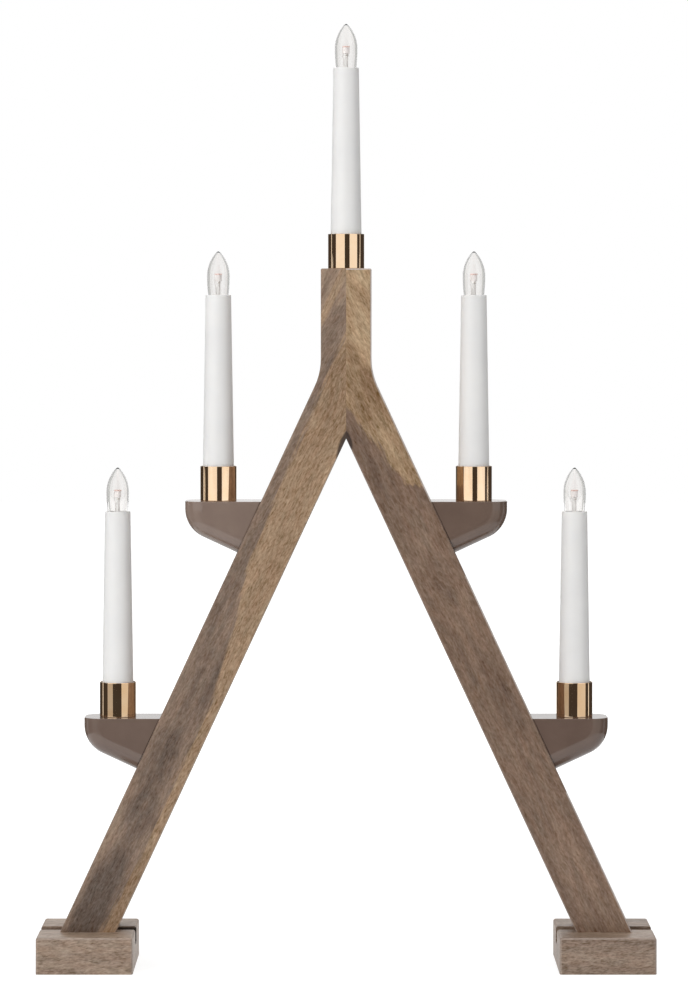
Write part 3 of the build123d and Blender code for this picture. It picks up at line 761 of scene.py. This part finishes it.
def wire(name, points, base, radius):
    """Round wire along straight runs, through points in millimetres from a base."""
    x, y, z = base / MM
    path = [Vector((x + right, y + back, z + up)) * MM for right, back, up in points]
    verts, faces = [], []
    for i, point in enumerate(path):
        ahead = (path[min(i + 1, len(path) - 1)] - path[max(i - 1, 0)]).normalized()
        across = ahead.orthogonal().normalized() if abs(ahead.z) < 0.9 else Vector((1, 0, 0))
        across = (across - ahead * across.dot(ahead)).normalized()
        other = ahead.cross(across)
        for k in range(WIRE_SIDES):
            angle = 2 * math.pi * k / WIRE_SIDES
            turned = across * math.cos(angle) + other * math.sin(angle)
            verts.append(point + turned * radius * MM)
    for i in range(len(path) - 1):
        for k in range(WIRE_SIDES):
            a, b = i * WIRE_SIDES + k, i * WIRE_SIDES + (k + 1) % WIRE_SIDES
            faces.append((a, b, b + WIRE_SIDES, a + WIRE_SIDES))
    faces.append(tuple(range(WIRE_SIDES))[::-1])
    faces.append(tuple(range(len(verts) - WIRE_SIDES, len(verts))))
    return build(name, verts, faces)


def screw_form(amplitude, low, high):
    """Rounded thread that fades out at both ends of a sleeve."""
    def form(radius, height, turn):
        wave = math.cos(2 * math.pi * (height / THREAD_PITCH - turn))
        fade = max(0.0, min(1.0, (height - low) / THREAD_FADE, (high - height) / THREAD_FADE))
        return radius + amplitude * wave * fade
    return form


def threaded_sleeve(name, radius, wall, amplitude, low, high, base):
    """Thin sleeve between two heights, with the same thread in and out."""
    heights = [low + (high - low) * k / THREAD_STEPS for k in range(THREAD_STEPS + 1)]
    outline = [(radius, z) for z in heights] + [(radius - wall, z) for z in reversed(heights)]
    return lathe(name, outline, base, THREAD_SEGMENTS, thread=screw_form(amplitude, low, high))


def glass_outline():
    """Closed outline of the envelope: outside up to the tip, then the hollow back down."""
    widest = (GLASS_WIDEST[0] - GLASS_WALL, GLASS_WIDEST[1])
    shoulder = (GLASS_SHOULDER[0] - GLASS_WALL, GLASS_SHOULDER[1])
    neck = GLASS_NECK_RADIUS - GLASS_WALL
    tip = (GLASS_TIP[0], HOLLOW_TIP - (GLASS_TOP - GLASS_TIP[1]))
    return [
        (GLASS_NECK_RADIUS, -GLASS_FOOT), (GLASS_NECK_RADIUS, -GLASS_NECK_DEPTH), GLASS_SHOULDER,
        *arc(GLASS_WIDEST, GLASS_SHOULDER, LOWER_GLASS_STEPS)[::-1][1:],
        *arc(GLASS_WIDEST, GLASS_TIP, UPPER_GLASS_STEPS)[1:],
        *TIP_POINTS,
        *HOLLOW_TIP_POINTS,
        *arc(widest, tip, UPPER_GLASS_STEPS)[::-1],
        *arc(widest, shoulder, LOWER_GLASS_STEPS)[1:],
        (neck, -GLASS_NECK_DEPTH), (neck, -GLASS_FOOT),
    ]


def make_cup(candle):
    low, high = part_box(f"{candle}_cup")
    base = Vector(((low.x + high.x) / 2, (low.y + high.y) / 2, low.z))
    inner = CUP_RADIUS - CUP_WALL
    outline = [
        (NIPPLE_HOLE, 0), (CUP_RADIUS, 0), (CUP_RADIUS, RIM_LOOP),
        (CUP_RADIUS, CUP_HEIGHT - RIM_LOOP), (CUP_RADIUS, CUP_HEIGHT), (inner, CUP_HEIGHT),
        (inner, CUP_HEIGHT - RIM_LOOP), (inner, CUP_FLOOR), (NIPPLE_HOLE, CUP_FLOOR),
    ]
    cup = lathe(f"{candle}_copper_cup", eased(outline, CUP_EASING), base, CUP_SEGMENTS)
    dress(cup, STAND, "polished_copper", replaces=[f"{candle}_cup"])


def make_tube(candle):
    low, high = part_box(f"{candle}_tube")
    top = Vector(((low.x + high.x) / 2, (low.y + high.y) / 2, high.z))
    foot = (high.z - low.z) / MM
    foot_radius = TUBE_TOP_RADIUS + foot * TUBE_TAPER
    loop_radius = TUBE_TOP_RADIUS + RIM_LOOP * TUBE_TAPER
    outline = [
        (foot_radius, -foot), (loop_radius, -RIM_LOOP), (TUBE_TOP_RADIUS, 0),
        (TUBE_TOP_RADIUS - TUBE_WALL, 0), (loop_radius - TUBE_WALL, -RIM_LOOP),
        (foot_radius - TUBE_WALL, -foot),
    ]
    tube = lathe(f"{candle}_candle_tube", eased(outline, TUBE_EASING, 6), top, TUBE_SEGMENTS)
    dress(tube, STAND, "tube_white", replaces=[f"{candle}_tube"])
    return top


def make_bulb(candle, top):
    """Envelope and cap, and inside them a diode on a stalk, with two wires and a bead of solder."""
    body = f"{candle}_bulb"
    envelope = lathe(f"{candle}_envelope", glass_outline(), top, GLASS_SEGMENTS)
    dress(envelope, body, "bulb_glass", replaces=[f"{candle}_bulb_glass"])

    cap = threaded_sleeve(f"{candle}_screw_cap", CAP_RADIUS, CAP_WALL, CAP_THREAD, -CAP_FOOT,
                          -CAP_TOP, top)
    dress(cap, body, "bulb_cap_metal", replaces=[f"{candle}_bulb_cap"])

    stalk = lathe(f"{candle}_stalk", eased(STALK_OUTLINE, STALK_EASING, 4, closed=False), top,
                  LIGHT_SEGMENTS, closed=False)
    dress(stalk, body, "bulb_light", replaces=[f"{candle}_bulb_light"])

    diode = lathe(f"{candle}_diode", eased(DIODE_OUTLINE, DIODE_EASING, 4, closed=False), top,
                  LIGHT_SEGMENTS, closed=False)
    dress(diode, body, "bulb_light", "diode")

    anode = wire(f"{candle}_anode", ANODE_POINTS, top, ANODE_RADIUS)
    dress(anode, body, "bulb_cap_metal", "light_wire")
    cathode = wire(f"{candle}_cathode", CATHODE_POINTS, top, CATHODE_RADIUS)
    dress(cathode, body, "bulb_cap_metal", "light_wire")
    bead = lathe(f"{candle}_solder_bead", BEAD_OUTLINE, top + Vector(BEAD_PLACE) * MM,
                 BEAD_SEGMENTS, closed=False)
    dress(bead, body, "bulb_cap_metal", "solder")


def make_shell(candle, top):
    low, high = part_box(f"{candle}_thread_shell")
    radius = (high.x - low.x) / 2 / MM
    shell = threaded_sleeve(f"{candle}_socket_shell", radius, SHELL_WALL, SHELL_THREAD,
                            -CAP_FOOT - SHELL_MARGIN, (high.z - top.z) / MM, top)
    dress(shell, STAND, "contact_brass", replaces=[f"{candle}_thread_shell"])


for candle in CANDLES:
    make_cup(candle)
    tube_top = make_tube(candle)
    make_bulb(candle, tube_top)
    make_shell(candle, tube_top)


# Studio, in metres. Cards are strips between two angles in degrees, which count from straight
# ahead of the object and are positive to the right.
FLOOR_SIZE = 12
FLOOR_TONE = (0.8, 0.8, 0.8, 1)
SHADOWED_TONE = (0.3, 0.3, 0.3, 1)
GLOW_DISTANCES = (0.4, 1.4)
GLOW_STRENGTHS = (0.84, 1.0)
WORLD_FILL = 0.42
CARD_NEAR = 0.5
CARD_FAR = 3.2
CARD_FOOT = 0.003
CARD_TOP = 3.0
CARD_STEP = 6
WALL_CARDS = ((-9, 22), (74, 97), (102, 163), (-163, -109), (-104, -68))
FLOOR_CARDS = (
    ("dark", -34, 21), ("tan", 21, 74), ("dark", 74, 97), ("dark", 102, 163),
    ("dark", -163, -109), ("dark", -104, -68), ("grey", -68, -34),
)
CARD_TONES = {"dark": srgb(66, 60, 55), "tan": srgb(222, 215, 204), "grey": srgb(186, 180, 172)}
THROUGH_TONE = srgb(206, 207, 205)
AIM = (0, 0, 0.28)
LIGHTS = (
    ("key", (-1.5, -1.8, 1.2), 1.4, 30), ("fill", (1.8, -1.4, 0.9), 1.4, 3),
    ("top", (0.1, 0.1, 2.2), 1.4, 14), ("back", (0.6, 2.2, 1.2), 1.6, 14),
)
CAMERA_PLACE = (-0.0013, -2.549, 0.400)
CAMERA_DROP = 1.282
CAMERA_LENS = 151.45
CAMERA_SENSOR = 36
CAMERA_SHIFT = -0.1
CAMERA_REACH = 20


def picture_rays(nodes):
    """1 for the camera's rays and for those that metal and glass send on, else 0."""
    path = nodes.node("ShaderNodeLightPath").outputs
    value = path["Is Camera Ray"]
    for name in ("Is Glossy Ray", "Is Transmission Ray"):
        value = nodes.math("MAXIMUM", value, path[name])
    return value


def make_world():
    """Soft light from all sides, seen as plain white."""
    world = bpy.data.worlds.new("studio")
    bpy.context.scene.world = world
    nodes = Nodes(world)
    soft, white = (
        nodes.node("ShaderNodeBackground", {"Color": WHITE, "Strength": strength}).outputs[0]
        for strength in (WORLD_FILL, 1.0))
    seen = nodes.shader_mix(picture_rays(nodes), soft, white)
    nodes.node("ShaderNodeOutputWorld", {"Surface": seen})


def floor_material():
    """Pale floor, seen as white but for the object's shadow."""
    material = bpy.data.materials.new("floor")
    nodes = Nodes(material)
    pale, shadowed = (nodes.node("ShaderNodeBsdfDiffuse", {"Color": tone}).outputs[0]
                      for tone in (FLOOR_TONE, SHADOWED_TONE))
    far = nodes.node("ShaderNodeVectorMath", {0: nodes.place()}, operation="LENGTH")
    strength = nodes.span(far.outputs["Value"], *GLOW_DISTANCES, *GLOW_STRENGTHS)
    glow = nodes.node("ShaderNodeEmission", {"Strength": strength}).outputs[0]
    seen = nodes.node("ShaderNodeAddShader", {0: shadowed, 1: glow}).outputs[0]
    shown = nodes.shader_mix(picture_rays(nodes), pale, seen)
    nodes.node("ShaderNodeOutputMaterial", {"Surface": shown})
    return material


def make_floor():
    half = FLOOR_SIZE / 2
    corners = [(-half, -half, 0), (half, -half, 0), (half, half, 0), (-half, half, 0)]
    plane = build("floor", corners, [(0, 1, 2, 3)])
    plane.data.materials.append(floor_material())


def card_material(name, tone):
    """One tone for gloss, and one for what the glass lets through."""
    material = bpy.data.materials.new(name)
    nodes = Nodes(material)
    path = nodes.node("ShaderNodeLightPath").outputs
    colour = nodes.mix(path["Is Transmission Ray"], tone, THROUGH_TONE)
    glow = nodes.node("ShaderNodeEmission", {"Color": colour}).outputs[0]
    nodes.node("ShaderNodeOutputMaterial", {"Surface": glow})
    return material


def card(name, material, start, end, near, far):
    """Strip between two angles. near and far are the (radius, height) of its two long edges."""
    steps = max(2, round((end - start) / CARD_STEP))
    verts, faces = [], []
    for k in range(steps + 1):
        angle = math.radians(start + (end - start) * k / steps)
        for radius, height in (near, far):
            verts.append((math.sin(angle) * radius, -math.cos(angle) * radius, height))
    for k in range(steps):
        faces.append((2 * k, 2 * k + 2, 2 * k + 3, 2 * k + 1))
    made = build(name, verts, faces)
    made.data.materials.append(material)
    for kind in ("camera", "diffuse", "shadow", "volume_scatter"):
        setattr(made, f"visible_{kind}", False)
    return made


def studio_cards():
    """Cards, upright round the object and on the floor, that only gloss and glass show."""
    tones = {name: card_material(f"{name}_card", tone) for name, tone in CARD_TONES.items()}
    near, far, top = (CARD_NEAR, CARD_FOOT), (CARD_FAR, CARD_FOOT), (CARD_FAR, CARD_TOP)
    for number, (start, end) in enumerate(WALL_CARDS):
        card(f"wall_card_{number}", tones["dark"], start, end, far, top)
    for number, (tone, start, end) in enumerate(FLOOR_CARDS):
        made = card(f"floor_card_{number}", tones[tone], start, end, near, far)
        made.visible_transmission = False


def soft_light(name, place, size, power):
    """Square lamp turned to the object, that gloss and glass don't show."""
    data = bpy.data.lights.new(name, "AREA")
    data.shape = "SQUARE"
    data.size = size
    data.energy = power
    light = bpy.data.objects.new(name, data)
    light.location = place
    light.rotation_euler = (Vector(AIM) - Vector(place)).to_track_quat("-Z", "Y").to_euler()
    light.visible_glossy = False
    light.visible_transmission = False
    bpy.context.scene.collection.objects.link(light)


def make_camera():
    data = bpy.data.cameras.new("camera")
    data.lens = CAMERA_LENS
    data.sensor_width = CAMERA_SENSOR
    data.shift_y = CAMERA_SHIFT
    data.clip_end = CAMERA_REACH
    camera = bpy.data.objects.new("camera", data)
    camera.location = CAMERA_PLACE
    camera.rotation_euler = (math.radians(90 - CAMERA_DROP), 0, 0)
    bpy.context.scene.collection.objects.link(camera)
    bpy.context.scene.camera = camera


make_floor()
make_world()
studio_cards()
for light in LIGHTS:
    soft_light(*light)
make_camera()
bpy.context.scene.view_settings.view_transform = "Standard"
